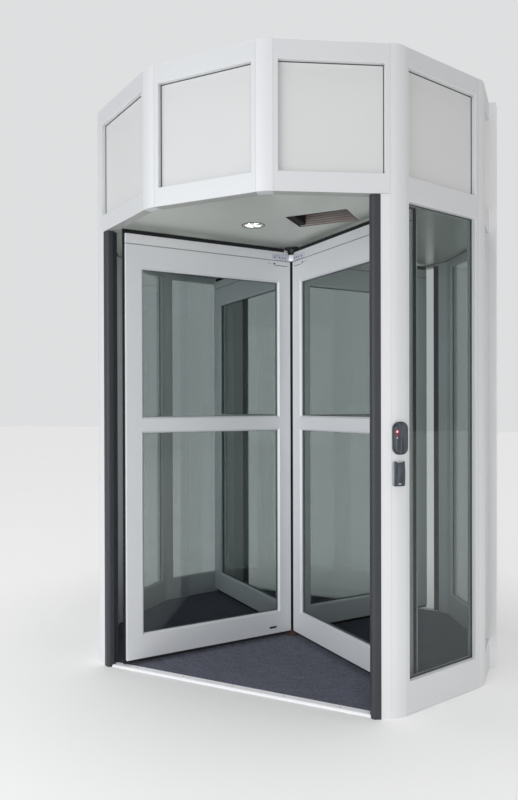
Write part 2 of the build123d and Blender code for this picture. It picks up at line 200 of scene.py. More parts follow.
world = bpy.data.worlds.new("studio")
bpy.context.scene.world = world
world.use_nodes = True
light_path = world.node_tree.nodes.new("ShaderNodeLightPath")
seen = Shade(world.node_tree, light_path.outputs["Is Camera Ray"])
feed(world.node_tree.nodes["Background"], Color=(0.985, 0.99, 1.0), Strength=0.43 + 0.315 * seen)


def area_light(name, place, aim, width, height, power, colour=(1.0, 1.0, 1.0)):
    """A soft rectangular light that points at a place."""
    data = bpy.data.lights.new(name, "AREA")
    data.shape = "RECTANGLE"
    data.size = width
    data.size_y = height
    data.energy = power
    data.color = colour
    lamp = bpy.data.objects.new(name, data)
    lamp.location = place
    away = np.subtract(place, aim)
    lean = math.atan2(math.hypot(away[0], away[1]), away[2])
    lamp.rotation_euler = (lean, 0, math.atan2(away[0], -away[1]))
    lamp.visible_camera = False
    bpy.context.collection.objects.link(lamp)


area_light("key_left", (-2.7, -7.5, 2.4), (0, 0, 0.8), 5.0, 3.0, 113)
area_light("key_right", (3.6, -7.0, 1.6), (0, 0, 0.8), 3.0, 2.0, 62)
area_light("low_sky", (-1.2, -6.0, 0.7), (0, 0, 0.2), 4.0, 1.0, 68, (0.80, 0.90, 1.0))
overhead = bpy.data.lights.new("overhead", "SUN")
overhead.energy = 1.5
overhead.angle = math.radians(50)
bpy.context.collection.objects.link(bpy.data.objects.new("overhead", overhead))

# Posts, frames and facade jambs: extruded sections in clear anodised aluminium. The facade jambs are a
# shade lighter, which is painted light for the stronger light that falls on them. The drawn grain runs
# along each length, upright in the posts and stiles and level in the rails.
PASSAGE_HEIGHT = 2.10
TOTAL_HEIGHT = 2.70
CANOPY_RAIL = 0.08
CANOPY_SILL = PASSAGE_HEIGHT + CANOPY_RAIL
CANOPY_HEAD = TOTAL_HEIGHT - CANOPY_RAIL
BASE_RAIL = 0.135
FRAME_RAILS = [(0, BASE_RAIL), (PASSAGE_HEIGHT, CANOPY_SILL), (CANOPY_HEAD, TOTAL_HEIGHT)]


def anodised(name, dark, light, rails=(), groove_shadow=(0.0, 0.0)):
    """Anodised aluminium with a drawn grain, level between the heights of each rail and upright elsewhere.

    Between the groove's two heights it is darkened as a painted shadow.
    """
    material, shader, place = new_material(name)
    height = place.axis(2)
    level = 0.0
    for low, high in rails:
        level = level + (height > low) * (height < high)
    upright_grain = place.stretched(1, 1, 0.015).noise(700)
    level_grain = place.stretched(0.015, 0.015, 1).noise(700)
    grain = upright_grain * (1 - level) + level_grain * level
    cloud = place.noise(1.7, 3.0)
    dust = place.noise(90, 4.0)
    tone = 0.55 * cloud + 0.25 * grain + 0.2 * dust
    shadow = (height > groove_shadow[0]) * (height < groove_shadow[1])
    feed(shader, Base_Color=shadow.colour(tone.colour(dark, light), (0.34, 0.34, 0.35)), Metallic=0.3,
         Roughness=0.45 + 0.10 * grain + 0.08 * cloud, Normal=grain.bump(0.00004))
    return material


def dress(material, *starts):
    """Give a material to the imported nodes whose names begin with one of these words."""
    for name in nodes:
        if name.startswith(starts):
            for place in nodes[name].material_slots:
                place.material = material


frame_metal = anodised("anodised_frame", (0.70, 0.705, 0.715), (0.80, 0.805, 0.81), FRAME_RAILS)
post_metal = anodised("anodised_post", (0.755, 0.757, 0.765), (0.855, 0.857, 0.86))
# Painted light: the facade jambs' metal is a lighter copy of the anodised finish.
facade_painted_light_metal = anodised("anodised_facade_painted_light", (0.88, 0.88, 0.885), (0.95, 0.95, 0.95))
dress(frame_metal, "canopy_frames", "wall_frame")
dress(post_metal, "jamb_post", "wall_posts", "canopy_posts")
dress(facade_painted_light_metal, "facade_jamb")

# Canopy panels: flat painted sheets in the frames' grooves, with a dark seal round each, pressed in as a
# wedge between the sheet and the frame. The two sheets behind the facade jambs have a pale bead instead,
# which is a painted reflection of the facade jamb.
SIDES = 12
SIDE_TURN = 2 * math.pi / SIDES
APOTHEM = 1.015
POST_REACH = 0.035
CANOPY_LAND = 0.022
REVEAL_DEPTH = 0.023
HALF_SIDE = APOTHEM * math.tan(SIDE_TURN / 2)
SEAL = 0.003
FACADE_SIDES = (3, 9)


def turned(points, angle):
    """Points turned about the drum's axis by an angle in radians."""
    c, s = math.cos(angle), math.sin(angle)
    x, y, z = np.moveaxis(np.asarray(points, float), -1, 0)
    return np.stack([c * x - s * y, s * x + c * y, z], axis=-1)


def grid_faces(rows, columns, close_rows=False, close_columns=False):
    """Faces of a grid of points, row by row, that may close on itself in one or both directions."""
    row = np.arange(rows if close_rows else rows - 1)[:, None]
    column = np.arange(columns if close_columns else columns - 1)[None, :]
    next_row = (row + 1) % rows
    next_column = (column + 1) % columns
    corners = (row * columns + column, row * columns + next_column,
               next_row * columns + next_column, next_row * columns + column)
    return np.stack([np.broadcast_to(c, (row.size, column.size)) for c in corners], axis=-1).reshape(-1, 4)


def joined(parts):
    """Several (points, faces) pairs as one."""
    points, faces, count = [], [], 0
    for part_points, part_faces in parts:
        part_points = np.reshape(part_points, (-1, 3))
        points.append(part_points)
        faces.extend((np.asarray(face) + count).tolist() for face in part_faces)
        count += len(part_points)
    return np.concatenate(points), faces


def around(turns, *parts):
    """Parts repeated at each of the turns about the drum's axis, as one."""
    return joined([(turned(points, turn), faces) for turn in turns for points, faces in parts])


def rim(profile, left, right, low, high, axis_y):
    """A profile carried round an upright rectangle, with mitred corners.

    A profile point (inset, lift) makes a rectangle that lies inset in the given one, at y = axis_y + lift.
    """
    inset, lift = np.asarray(profile, float).T
    side_x = np.array([-1, 1, 1, -1])[:, None]
    side_z = np.array([-1, -1, 1, 1])[:, None]
    x = (left + right) / 2 + side_x * ((right - left) / 2 - inset)
    z = (low + high) / 2 + side_z * ((high - low) / 2 - inset)
    y = np.broadcast_to(axis_y + lift, x.shape)
    return np.stack([x, y, z], axis=-1), grid_faces(4, len(inset), True, True)


def speckled(name, scale, detail, dark, light, rough, more, bump=0.0, stretch=None, **others):
    """A material in which one noise moves the colour from dark to light and the roughness up by more.

    The noise can be stretched along the axes, and it can also raise the surface by the height bump.
    """
    material, shader, place = new_material(name)
    if stretch:
        place = place.stretched(*stretch)
    speck = place.noise(scale, detail)
    if bump:
        others["Normal"] = speck.bump(bump)
    feed(shader, Base_Color=speck.colour(dark, light), Roughness=rough + more * speck, **others)
    return material


material, shader, place = new_material("painted_panel")
cloud = place.noise(1.3, 3.0)
orange_peel = place.noise(420)
tone = 0.8 * cloud + 0.2 * orange_peel
feed(shader, Base_Color=tone.colour((0.655, 0.655, 0.645), (0.725, 0.722, 0.71)),
     Roughness=0.42 + 0.1 * cloud, Coat_Weight=0.35, Coat_Roughness=0.06, Normal=orange_peel.bump(0.00003))
dress(material, "canopy_panels")

rubber_and_painted_shadow = speckled("rubber_and_painted_shadow", 300, 3.0, (0.03, 0.032, 0.033), (0.06, 0.062, 0.064), 0.55, 0.2)
seal_profile = [(0, 0), (0, -0.8 * SEAL), (0.4 * SEAL, -SEAL), (SEAL, -0.4 * SEAL), (SEAL, 0)]
panel_half = HALF_SIDE - POST_REACH - CANOPY_LAND
seal_and_shadow_strip = rim(seal_profile, -panel_half, panel_half, CANOPY_SILL, CANOPY_HEAD, REVEAL_DEPTH - APOTHEM)
dark_turns = [side * SIDE_TURN for side in range(SIDES) if side not in FACADE_SIDES]
pale_turns = [side * SIDE_TURN for side in FACADE_SIDES]
canopy_seals = new_object("canopy_seals", *around(dark_turns, seal_and_shadow_strip), rubber_and_painted_shadow)
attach(canopy_seals, "drum")
# Painted reflection: the pale beads behind the facade jambs stand for the jamb mirrored in the sheets.
canopy_reflection_beads = new_object("canopy_reflection_beads", *around(pale_turns, seal_and_shadow_strip), post_metal)
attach(canopy_reflection_beads, "drum")

# Side walls: clear glass with a faint grey-green tint, held by a slim rubber gasket outside and an aluminium
# glazing bead inside. The middle panes, behind the facade jambs, have a bead on both sides: outside, a pale
# bead in place of the gasket, which is a painted reflection of the facade jamb.
WALL_LAND = 0.022
PANE_HEAD = PASSAGE_HEIGHT - 0.022
GLASS = 0.008
GASKET = 0.003
PANE_TINT = (0.728, 0.758, 0.754)
MIRRORED = 0.04


def glazing_glass(name, tint):
    """Thin tinted glass that lets light straight through, with duller mirroring at wipe marks.

    It mirrors a small share seen straight on, and the rest grows with the fifth power of the slant.
    """
    material, shader, place = new_material(name)
    wipes = place.stretched(1, 1, 0.35).noise(5, 4.0).step(0.45, 0.8)
    feed(shader, Base_Color=wipes.colour((0.96, 0.98, 0.97), (0.90, 0.92, 0.92)), Metallic=1.0,
         Roughness=0.01 + 0.10 * wipes)
    tree = material.node_tree
    mirror = Shade(tree, shader.outputs["BSDF"])
    clear = place.node("ShaderNodeBsdfTransparent", {}, {"Color": (*tint, 1.0)})
    slant = place.node("ShaderNodeLayerWeight", {}, {"Blend": 0.5}, output=1)
    gloss = MIRRORED + (1 - MIRRORED) * place.maths("POWER", slant, 5.0)
    pane = place.node("ShaderNodeMixShader", {}, {0: gloss, 1: clear, 2: mirror})
    tree.links.new(pane.socket, tree.nodes["Material Output"].inputs["Surface"])
    return material


dress(glazing_glass("wall_glazing", PANE_TINT), "wall_glass")

pane_half = HALF_SIDE - POST_REACH - WALL_LAND
pane_edges = (-pane_half, pane_half, BASE_RAIL, PANE_HEAD)
gasket_profile = np.array([(0, 0), (0, -0.7), (0.5, -1.0), (1.0, -0.35), (1.0, 0)]) * GASKET
outer_loop = rim(gasket_profile, *pane_edges, REVEAL_DEPTH - APOTHEM)
inner_loop = rim(gasket_profile * (2, -1), *pane_edges, REVEAL_DEPTH + GLASS - APOTHEM)
end_turns = [math.radians(side * angle) for side in (1, -1) for angle in (60, 120)]
middle_turns = [math.radians(side * 90) for side in (1, -1)]
wall_gaskets = new_object("wall_gaskets", *around(end_turns, outer_loop), rubber_and_painted_shadow)
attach(wall_gaskets, "drum")
# Painted reflection: the pale outer beads of the middle panes stand for the facade jamb mirrored in the
# glass.
beads = joined([around(end_turns + middle_turns, inner_loop), around(middle_turns, outer_loop)])
wall_beads = new_object("wall_beads", *beads, post_metal)
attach(wall_beads, "drum")

# Ceiling: a satin metal sheet, brushed from front to back, that mirrors the wings softly. It closes the drum
# inside the canopy frames, a little above the passage height.
SOFFIT_BOTTOM = 2.114

material, shader, place = new_material("soffit_sheet")
brushing = place.stretched(1, 0.02, 1).noise(500)
cloud = place.noise(1.2, 3.0)
feed(shader, Base_Color=cloud.colour((0.60, 0.62, 0.57), (0.68, 0.70, 0.645)), Metallic=0.35,
     Roughness=0.26 + 0.08 * brushing, Normal=brushing.bump(0.00003))
dress(material, "soffit")

# Canopy underside: over both ways in, a grey strip under each rail, painted shade for the rails' shaded
# undersides; and all round the ceiling a thin dark strip in the corner between the sheet and the rails,
# painted shadow behind the step there.
INNER_APOTHEM = 0.9707
STRIP_THICK = 0.0009
STRIP_INSIDE, STRIP_OUTSIDE = 0.0008, 0.0012
SHADOW_STRIP_WIDTH = 0.007
SHADOW_STRIP_THICK = 0.0012
SHADOW_STRIP_INSIDE = 0.0006
OVERLAP = 0.0002


def tube_faces(rows, columns):
    """Faces of a tube of points, row by row, with one face across each end."""
    count = rows * columns
    faces = grid_faces(rows, columns, False, True).tolist()
    return faces + [list(range(columns)), list(range(count - columns, count))]


def prism(section, low, high):
    """A closed plan section carried upright from one height to another."""
    points = np.concatenate([np.insert(section, 2, height, axis=1) for height in (low, high)])
    return points, tube_faces(2, len(section))


def edge_strip(inner, outer, short, low, high):
    """A flat strip along the side towards -Y, between two apothems, its ends short of the side's corners."""
    inner_half = inner * math.tan(SIDE_TURN / 2) - short
    outer_half = outer * math.tan(SIDE_TURN / 2) - short
    section = [(-inner_half, -inner), (inner_half, -inner), (outer_half, -outer), (-outer_half, -outer)]
    return prism(np.array(section), low, high)


# Painted shade: the strip's grey is darker than the rails, standing for the shade under them.
material, shader, place = new_material("shaded_underside_strip")
dust = place.noise(60, 4.0)
cloud = place.noise(3.0, 2.0)
tone = 0.6 * cloud + 0.4 * dust
feed(shader, Base_Color=tone.colour((0.40, 0.405, 0.385), (0.52, 0.525, 0.50)), Metallic=0.2,
     Roughness=0.4 + 0.15 * dust)
strip = edge_strip(INNER_APOTHEM - STRIP_INSIDE, APOTHEM - STRIP_OUTSIDE, POST_REACH,
                   PASSAGE_HEIGHT - STRIP_THICK, PASSAGE_HEIGHT + OVERLAP)
strip_turns = [math.radians(turn) for turn in (-30, 0, 30, 150, 180, 210)]
shaded_underside_strips = new_object("shaded_underside_strips", *around(strip_turns, strip), material)
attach(shaded_underside_strips, "drum")

# Painted shadow: a thin dark strip stands for the shadow behind the step at the ceiling's edge.
seal_and_shadow_strip = edge_strip(INNER_APOTHEM - SHADOW_STRIP_WIDTH, INNER_APOTHEM - SHADOW_STRIP_INSIDE, 0,
                  SOFFIT_BOTTOM - SHADOW_STRIP_THICK, SOFFIT_BOTTOM + OVERLAP)
all_turns = [side * SIDE_TURN for side in range(SIDES)]
ceiling_shadow_strip = new_object("ceiling_shadow_strip", *around(all_turns, seal_and_shadow_strip), rubber_and_painted_shadow)
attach(ceiling_shadow_strip, "drum")

# Facade backing: a pale bar behind each facade jamb, out from the glass and from the canopy sheet, over the
# height of the panes and of the canopy sheets: a painted reflection of the jamb beside it.
REFLECTION_BAR_HALF = 0.028

section = np.array([(-1, 0), (1, 0), (1, REVEAL_DEPTH), (-1, REVEAL_DEPTH)])
section = section * (REFLECTION_BAR_HALF, 1) - (0, APOTHEM)
bars = [prism(section, low, high) for low, high in ((BASE_RAIL, PANE_HEAD), (CANOPY_SILL, CANOPY_HEAD))]
facade_reflection_bars = new_object("facade_reflection_bars", *around(middle_turns, *bars), facade_painted_light_metal)
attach(facade_reflection_bars, "drum")

# Downlights: a thin dark rim and a pale dished trim under the ceiling, round a facetted glass lamp. All of it
# stands less than 2 mm below the ceiling, so that the brushes pass 5 mm under it.
LIGHT_DISTANCE = 0.520
LIGHT_RADIUS = 0.056
TRIM_BORE = 0.040
LAMP_RADIUS = 0.0395
LAMP_FACETS = 16
ROUND = 48


def lathe(profile, segments, ring=False):
    """A profile of (radius, height) points turned about the z axis, as a closed ring or with flat ends."""
    radius, height = np.asarray(profile, float).T
    turn = np.arange(segments) * 2 * math.pi / segments
    x = radius[:, None] * np.cos(turn)
    y = radius[:, None] * np.sin(turn)
    z = np.broadcast_to(height[:, None], x.shape)
    rows = len(radius)
    faces = grid_faces(rows, segments, True, True).tolist() if ring else tube_faces(rows, segments)
    return np.stack([x, y, z], axis=-1).reshape(-1, 3), faces


def over_both_halves(part):
    """A part at the ceiling's level, once over the front half and once over the back half."""
    points, faces = part
    return joined([(points + (0, side * LIGHT_DISTANCE, SOFFIT_BOTTOM), faces) for side in (-1, 1)])


rim_metal = speckled("light_rim", 160, 3.0, (0.07, 0.075, 0.07), (0.13, 0.135, 0.13), 0.35, 0.1, Metallic=0.4)
rim_profile = [(0.0525, 0.0006), (0.0525, -0.0012), (0.0535, -0.0017), (0.0550, -0.0016),
               (LIGHT_RADIUS, -0.0009), (LIGHT_RADIUS, 0.0006)]
light_rims = new_object("light_rims", *over_both_halves(lathe(rim_profile, ROUND, True)), rim_metal, True)
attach(light_rims, "drum")

trim_metal = speckled("light_trim", 60, 3.0, (0.42, 0.43, 0.42), (0.54, 0.55, 0.54), 0.35, 0.1, Metallic=0.3)
trim_profile = [(TRIM_BORE, 0.0055), (TRIM_BORE, 0.0030), (0.0430, 0.0003), (0.0490, -0.0008),
                (0.0530, -0.0010), (0.0530, 0.0003), (0.0412, 0.0004), (0.0412, 0.0055)]
trims = new_object("light_trims", *over_both_halves(lathe(trim_profile, ROUND, True)), trim_metal, True)
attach(trims, "drum")

material, shader, place = new_material("light_lamp")
reach_y = place.axis(1).size() - LIGHT_DISTANCE
angle = place.maths("ARCTAN2", reach_y, place.axis(0))
seam = angle.wave(2 * math.pi / LAMP_FACETS).step(0.02, 0.30)
frost = seam * place.noise(65, 2.0).step(0.40, 0.50)
feed(shader, Base_Color=frost.colour((0.20, 0.21, 0.21), (0.95, 0.94, 0.90)), Roughness=0.25,
     Emission_Color=frost.colour((0.06, 0.065, 0.06), (1.0, 0.985, 0.95)), Emission_Strength=1.6)
lamp_profile = [(0.0060, -0.0018), (0.0140, -0.0017), (0.0270, -0.0014), (0.0360, -0.0008),
                (LAMP_RADIUS, 0.0008), (LAMP_RADIUS, 0.0060), (0.0300, 0.0250), (0.0060, 0.0260)]
lamps = new_object("light_lamps", *over_both_halves(lathe(lamp_profile, LAMP_FACETS)), material)
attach(lamps, "drum")
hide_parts("downlights")

# Ceiling recess: an open box of dark sheet with a ribbed brown liner on its long far side, and on the left
# a black block that is painted shadow over the recess's shaded left end.
RECESS_X = 0.334
RECESS_Y = -0.491
RECESS_LENGTH = 0.283
RECESS_WIDTH = 0.184
RECESS_TOP = 2.201
LINER_RIBS = 8
LINER_DEPTH = 0.004
LINER_GAP = 0.002
LINER_BEHIND = 0.0005
SHADOW_BLOCK_LENGTH = 0.028
SHADOW_BLOCK_GAP = 0.001
SHADOW_BLOCK_BOTTOM, SHADOW_BLOCK_TOP = 2.120, 2.199
SHARPEST = 0.0002

recess_sheet = speckled("recess_sheet", 22, 4.0, (0.055, 0.042, 0.036), (0.12, 0.095, 0.082), 0.5, 0.2)
dress(recess_sheet, "ceiling_recess")


def ribbed_sheet(length, low, high, ribs, depth):
    """An upright sheet with level ribs, whose front lies depth * (0.35 + 0.65 * |sin(height)|) forward."""
    height = np.linspace(low, high, ribs * 6 + 1)
    wave = depth * (0.35 + 0.65 * np.abs(np.sin(np.linspace(0, ribs * math.pi, height.size))))
    rows = []
    for x in (-length / 2, length / 2):
        rows.append(np.stack([np.full_like(height, x), -wave, height], axis=-1))
        rows.append(np.stack([np.full_like(height, x), np.zeros_like(height), height], axis=-1))
    front_left, back_left, front_right, back_right = rows
    loop = np.stack([front_left, front_right, back_right, back_left], axis=1)
    return loop.reshape(-1, 3), tube_faces(height.size, 4)


material, shader, place = new_material("recess_liner")
streak = 0.6 * place.stretched(0.03, 1, 1).noise(130, 3.0) + 0.4 * place.noise(16, 3.0)
feed(shader, Base_Color=streak.colour((0.12, 0.100, 0.090), (0.40, 0.335, 0.305)),
     Roughness=0.45 + 0.2 * streak)
points, faces = ribbed_sheet(RECESS_LENGTH - LINER_GAP, SOFFIT_BOTTOM + LINER_GAP, RECESS_TOP - LINER_GAP,
                             LINER_RIBS, LINER_DEPTH)
points = points + (RECESS_X, RECESS_Y + RECESS_WIDTH / 2 - LINER_BEHIND, 0)
liner = new_object("recess_liner", points, faces, material)
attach(liner, "drum")


def rounded(half_width, half_height, radius, rings, steps=6):
    """A rounded rectangle carried outwards through rings of (inset, lift), closed at both ends.

    The points are (across, up, out). A corner is a quarter circle whose radius shrinks with the inset.
    """
    inset, lift = [column[:, None] for column in np.asarray(rings, float).T]
    reach = np.maximum(radius - inset, SHARPEST)
    quarter = np.linspace(0, math.pi / 2, steps)
    turn = np.concatenate([quarter + corner * math.pi / 2 for corner in range(4)])
    side_u = np.repeat([1, -1, -1, 1], steps)
    side_v = np.repeat([1, 1, -1, -1], steps)
    u = side_u * (half_width - inset - reach) + reach * np.cos(turn)
    v = side_v * (half_height - inset - reach) + reach * np.sin(turn)
    points = np.stack([u, v, np.broadcast_to(lift, u.shape)], axis=-1)
    return points.reshape(-1, 3), tube_faces(len(inset), turn.size)


def facing(part, angle, out, across=0.0, up=0.0):
    """A part of (across, up, out) points set upright, looking out from the axis at an angle from -Y."""
    points, faces = part
    u, v, lift = np.reshape(points, (-1, 3)).T
    return turned(np.stack([u + across, -(lift + out), v + up], axis=-1), angle), faces


# Painted shadow: the block at the recess's left end is black for the shade there; the same black serves the
# lock and brush parts.
black_parts_and_shadow = speckled("black_parts_and_painted_shadow", 240, 3.0, (0.012, 0.012, 0.013), (0.03, 0.03, 0.032), 0.45, 0.2,
                       Specular_IOR_Level=0.15)
shadow_block_rings = [(0, -0.088), (0, 0.076), (0.004, 0.080)]
shadow_block = rounded(SHADOW_BLOCK_LENGTH / 2, (SHADOW_BLOCK_TOP - SHADOW_BLOCK_BOTTOM) / 2, 0.005, shadow_block_rings)
shadow_block_x = RECESS_X - RECESS_LENGTH / 2 + SHADOW_BLOCK_LENGTH / 2 + SHADOW_BLOCK_GAP
shadow_block = facing(shadow_block, 0, -RECESS_Y, shadow_block_x, (SHADOW_BLOCK_TOP + SHADOW_BLOCK_BOTTOM) / 2)
recess_shadow_block = new_object("recess_shadow_block", *shadow_block, black_parts_and_shadow)
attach(recess_shadow_block, "drum")

# Top bearing: a black flange under the ceiling with a short black neck round the shaft. The rounded cup that
# closes the neck from below turns with the shaft, 1 mm under the neck.
BEARING_BORE = 0.023
BEARING_LOW = 2.0855
NECK, FLANGE = 0.0285, 0.0450
CUP_LOW, CUP_HIGH = 2.070, 2.0845
CUP_CORE = 0.0060

bearing_black = speckled("bearing_black", 45, 4.0, (0.010, 0.010, 0.011), (0.035, 0.035, 0.038), 0.35, 0.2)
collar_profile = [(BEARING_BORE, BEARING_LOW), (0.0275, BEARING_LOW), (NECK, 2.0875), (NECK, 2.1035),
                  (0.0300, 2.1058), (0.0430, 2.1065), (FLANGE, 2.1080), (FLANGE, SOFFIT_BOTTOM),
                  (BEARING_BORE, SOFFIT_BOTTOM)]
collar = new_object("bearing_collar", *lathe(collar_profile, ROUND, True), bearing_black, True)
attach(collar, "drum")
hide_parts("top_bearing")

cup_profile = [(CUP_CORE, CUP_LOW), (0.0145, CUP_LOW + 0.0004), (0.0205, 2.0730), (0.0250, 2.0775),
               (0.0270, 2.0820), (0.0270, CUP_HIGH), (CUP_CORE, CUP_HIGH)]
bearing_cup = new_object("bearing_cup", *lathe(cup_profile, ROUND), bearing_black, True)
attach(bearing_cup, "rotor")

# Roof cover: painted sheet with flat lap joints from front to back, dusty from lying open. It is held along
# its edge by low pan-head screws of zinc-plated steel.
ROOF_APOTHEM = 0.93
LAP_PITCH = 0.64
SCREWS_PER_SIDE = 3
SCREWS_REACH = 0.16

material, shader, place = new_material("roof_sheet")
dust = place.noise(6, 5.0)
lap = place.axis(0).wave(LAP_PITCH).step(0.9995, 1.0)
feed(shader, Base_Color=(dust * (1 - 0.6 * lap)).colour((0.30, 0.31, 0.31), (0.66, 0.665, 0.66)),
     Roughness=0.5 + 0.25 * dust, Normal=(1 - lap).bump(0.0008))
dress(material, "roof_cover")

zinc_screw = speckled("zinc_screw", 300, 3.0, (0.42, 0.42, 0.41), (0.62, 0.62, 0.61), 0.3, 0.2, Metallic=0.9)
screw_profile = [(0.0005, 0.0), (0.0045, 0.0), (0.0045, 0.0006), (0.0030, 0.0014), (0.0012, 0.0016),
                 (0.0010, 0.0008), (0.0004, 0.0008)]
screw_points, screw_faces = lathe(screw_profile, 10)
screws = [(screw_points + (along, -ROOF_APOTHEM, TOTAL_HEIGHT), screw_faces)
          for along in np.linspace(-SCREWS_REACH, SCREWS_REACH, SCREWS_PER_SIDE)]
corner_turns = [(side + 0.5) * SIDE_TURN for side in range(SIDES)]
roof_screws = new_object("roof_screws", *around(corner_turns, *screws), zinc_screw)
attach(roof_screws, "drum")

# Jamb bumpers: black rubber with a bull nose and fine ribs along their length, clipped into an aluminium
# bead on the free edge of each jamb. The bead is painted a lighter tone than the jamb, as a painted
# highlight along the jamb's edge. A rubber lip inside reaches in to just short of the brushes.
JAMB_REACH = 0.075
JAMB_TOP = 2.0985
BEAD_WIDTH = 0.004
BEAD_LIFT = 0.0015
LIP_EDGE = 0.099
LIP_ROOT, LIP_TIP = 0.008, 0.004
LIP_DEPTH = 0.0155
LIP_LOW = 0.012
BEAD_ROOT = 0.001
LIP_SINK = 0.0005

material, shader, place = new_material("bumper_rubber")
fine = place.stretched(1, 1, 0.05).noise(260, 3.0)
dust = place.noise(14, 4.0)
feed(shader, Base_Color=(0.6 * dust + 0.4 * fine).colour((0.022, 0.023, 0.028), (0.048, 0.05, 0.058)),
     Roughness=0.40 + 0.2 * dust, Normal=fine.bump(0.0001))
dress(material, "jamb_bumper")


def corner_place(along, out):
    """Plan place at the corner towards -Y: along one of its faces, negative to the left, and out from it."""
    half_turn = math.pi / SIDES
    along, out = np.asarray(along, float), np.asarray(out, float)
    reach = np.abs(along)
    x = np.sign(along) * (reach * math.cos(half_turn) + out * math.sin(half_turn))
    y = -APOTHEM / math.cos(half_turn) + reach * math.sin(half_turn) - out * math.cos(half_turn)
    return np.stack([x, y], axis=-1)


beads, lips = [], []
bead_along = JAMB_REACH + np.array([-0.5, -0.5, -0.2, 0.4, 0.5, 0.5]) * BEAD_WIDTH
bead_out = [-BEAD_ROOT, 0.6 * BEAD_LIFT, BEAD_LIFT, BEAD_LIFT, 0.5 * BEAD_LIFT, -BEAD_ROOT]
lip_along = LIP_EDGE - np.array([LIP_ROOT, 0, 0, LIP_TIP])
lip_out = INNER_APOTHEM - APOTHEM - np.array([-LIP_SINK, -LIP_SINK, LIP_DEPTH, LIP_DEPTH])
for angle, side in ((45, -1), (-45, 1), (135, 1), (-135, -1)):
    turn = [math.radians(angle)]
    beads.append(around(turn, prism(corner_place(side * bead_along, bead_out), 0.0, JAMB_TOP)))
    lips.append(around(turn, prism(corner_place(side * lip_along, lip_out), LIP_LOW, JAMB_TOP)))
jamb_lips = new_object("jamb_lips", *joined(lips), material)
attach(jamb_lips, "drum")
# Painted highlight: the bead's metal is a lighter copy of the anodised finish.
highlight_bead_metal = anodised("bead_painted_highlight", (0.80, 0.80, 0.81), (0.88, 0.88, 0.89))
jamb_beads = new_object("jamb_beads", *joined(beads), highlight_bead_metal)
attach(jamb_beads, "drum")

# Floor mat: dark blue-grey textile ribs from left to right on a backing of the same cloth, gritty from use
# and lighter in streaks along arcs round the axis. It lies loose between the thresholds and ends at the
# drum's twelve inner faces.
MAT_REACH = 0.7411
MAT_TOP = 0.008
MAT_BED = 0.005
RIB_PITCH = 0.009


def mat_width(y):
    """Half the width of the twelve-sided floor at a distance y from the middle."""
    turn = np.arange(-2, 3)[:, None] * SIDE_TURN
    return np.min((INNER_APOTHEM -np.abs(y) * np.sin(np.abs(turn))) / np.cos(turn), axis=0)


rib_count = int(2 * MAT_REACH / RIB_PITCH)
profile_place = np.array([0.0, 0.18, 0.30, 0.70, 0.82])
profile_rise = np.array([0.0, 0.0, 1.0, 1.0, 0.0])
y = ((np.arange(rib_count)[:, None] + profile_place) / rib_count * 2 - 1).ravel() * MAT_REACH
z = MAT_BED + np.tile(profile_rise, rib_count) * (MAT_TOP - MAT_BED)
half = mat_width(y)
mat_rows = np.stack([np.stack([-half, y, 0 * y], -1), np.stack([-half, y, z], -1),
                     np.stack([half, y, z], -1), np.stack([half, y, 0 * y], -1)], axis=1)
material, shader, place = new_material("mat_textile")
fibre = place.stretched(0.25, 1, 1).noise(420, 3.0)
tread = place.noise(2.4, 3.0)
radius = (place.axis(0) * place.axis(0) + place.axis(1) * place.axis(1)).root()
angle = place.maths("ARCTAN2", place.axis(0), place.axis(1) * -1)
# Lighter streaks along arcs round the axis.
arc_streaks = place.node("ShaderNodeCombineXYZ", {}, {0: radius, 1: angle * 0.12, 2: 0.0}).noise(48, 5.0)
weave = place.noise(105, 1.0).step(0.3, 0.7)
grit = place.noise(75, 1.0).step(0.76, 0.80)
tone = 0.25 * fibre + 0.25 * tread + 0.20 * arc_streaks.step(0.25, 0.75) + 0.25 * weave + 0.7 * grit
feed(shader, Base_Color=tone.colour((0.024, 0.026, 0.040), (0.180, 0.188, 0.255)), Roughness=0.85,
     Sheen_Weight=0.15, Normal=fibre.bump(0.0006))
floor_mat = new_object("entrance_mat", mat_rows.reshape(-1, 3), tube_faces(y.size, 4), material)
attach(floor_mat, "drum")
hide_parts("floor_mat")

# Thresholds: ribbed aluminium between the jambs, scuffed along its length. Each is screwed down with five
# pan-head screws, whose heads sit a millimetre deep.
THRESHOLD_LINE = 0.7624
THRESHOLD_TOP = 0.010
SCREW_LINE = 0.5
SCREW_SINK = 0.0010

material, shader, place = new_material("threshold_metal")
scuff = place.stretched(0.3, 1, 1).noise(120, 5.0)
grime = place.noise(9, 4.0)
tone = 0.5 * scuff + 0.5 * grime
feed(shader, Base_Color=tone.colour((0.86, 0.86, 0.875), (0.97, 0.97, 0.98)), Metallic=0.10,
     Roughness=0.32 + 0.25 * scuff, Normal=scuff.bump(0.0001))
dress(material, "threshold")
spots = [(x, side * THRESHOLD_LINE) for x in np.linspace(-SCREW_LINE, SCREW_LINE, 5) for side in (-1, 1)]
screws = [(screw_points + (x, y, THRESHOLD_TOP - SCREW_SINK), screw_faces) for x, y in spots]
threshold_screws = new_object("threshold_screws", *joined(screws), zinc_screw)
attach(threshold_screws, "drum")

# Floor pivot: a low cast collar with old, chipped red-brown paint. It stands on the floor round the shaft's
# foot and stays still when the shaft turns.
pivot_paint = speckled("pivot_paint", 70, 5.0, (0.030, 0.016, 0.013), (0.095, 0.045, 0.034), 0.45, 0.3,
                       bump=0.0004)
dress(pivot_paint, "floor_pivot")

